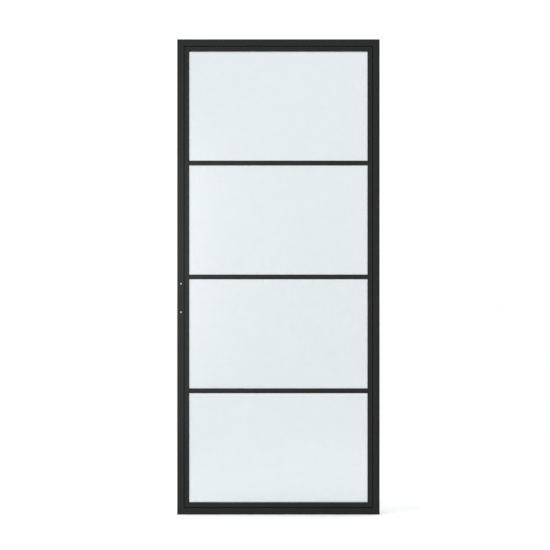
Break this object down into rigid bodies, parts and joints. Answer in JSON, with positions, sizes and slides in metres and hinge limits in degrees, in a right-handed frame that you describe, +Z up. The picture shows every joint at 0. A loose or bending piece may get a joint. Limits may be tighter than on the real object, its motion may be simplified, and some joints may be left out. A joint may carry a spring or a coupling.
{
  "type": "glass door",
  "caption": "Hinged black aluminium glass door with its own four-sided frame, horizontal muntins dividing satin glass panes, barrel hinges, magnetic catch and pull handle.",
  "frame": {"origin": "middle of the sill's underside: centred across the width and at mid-depth of the frame", "axes": "+X right as seen from the front, the front face toward -Y, +Z up"},
  "size_m": [0.89, 0.098, 2.09],
  "materials": {
    "black_aluminium": "matte",
    "black_steel": "matte",
    "satin_glass": "satin",
    "black_rubber": "matte",
    "mill_aluminium": "satin",
    "bright_steel": "satin",
    "magnet": "satin",
    "nylon": "matte"
  },
  "bodies": {
    "frame": {"frame_left_jamb": "black_aluminium", "frame_right_jamb": "black_aluminium", "frame_head": "black_aluminium", "frame_sill": "black_aluminium", "frame_corner_cleats": "mill_aluminium", "rebate_seal": "black_rubber", "catch_keep": "bright_steel", "catch_magnet": "magnet", "catch_screws": "bright_steel", "hinge_1_frame_half": "black_steel", "hinge_2_frame_half": "black_steel", "hinge_3_frame_half": "black_steel", "hinge_pins": "bright_steel", "hinge_washers": "nylon", "frame_hinge_screws": "bright_steel"},
    "leaf": {"leaf_left_stile": "black_aluminium", "leaf_right_stile": "black_aluminium", "leaf_top_rail": "black_aluminium", "leaf_bottom_rail": "black_aluminium", "leaf_corner_cleats": "mill_aluminium", "muntin_1": "black_aluminium", "muntin_2": "black_aluminium", "muntin_3": "black_aluminium", "glass_1": "satin_glass", "glass_2": "satin_glass", "glass_3": "satin_glass", "glass_4": "satin_glass", "bead_1_top": "black_aluminium", "bead_1_bottom": "black_aluminium", "bead_1_left": "black_aluminium", "bead_1_right": "black_aluminium", "bead_2_top": "black_aluminium", "bead_2_bottom": "black_aluminium", "bead_2_left": "black_aluminium", "bead_2_right": "black_aluminium", "bead_3_top": "black_aluminium", "bead_3_bottom": "black_aluminium", "bead_3_left": "black_aluminium", "bead_3_right": "black_aluminium", "bead_4_top": "black_aluminium", "bead_4_bottom": "black_aluminium", "bead_4_left": "black_aluminium", "bead_4_right": "black_aluminium", "front_gasket_1": "black_rubber", "front_gasket_2": "black_rubber", "front_gasket_3": "black_rubber", "front_gasket_4": "black_rubber", "back_gasket_1": "black_rubber", "back_gasket_2": "black_rubber", "back_gasket_3": "black_rubber", "back_gasket_4": "black_rubber", "setting_blocks": "black_rubber", "strike_plate": "bright_steel", "strike_screws": "bright_steel", "hinge_1_leaf_half": "black_steel", "hinge_2_leaf_half": "black_steel", "hinge_3_leaf_half": "black_steel", "leaf_hinge_screws": "bright_steel", "pull_handle": "black_aluminium", "handle_bolts": "bright_steel"}
  },
  "joints": [
    {"name": "leaf_hinge", "type": "hinge", "parent": "frame", "child": "leaf", "pos_m": [0.4215, 0.0325, 1.045], "axis": [0, 0, -1], "range_deg": [0, 170]}
  ]
}
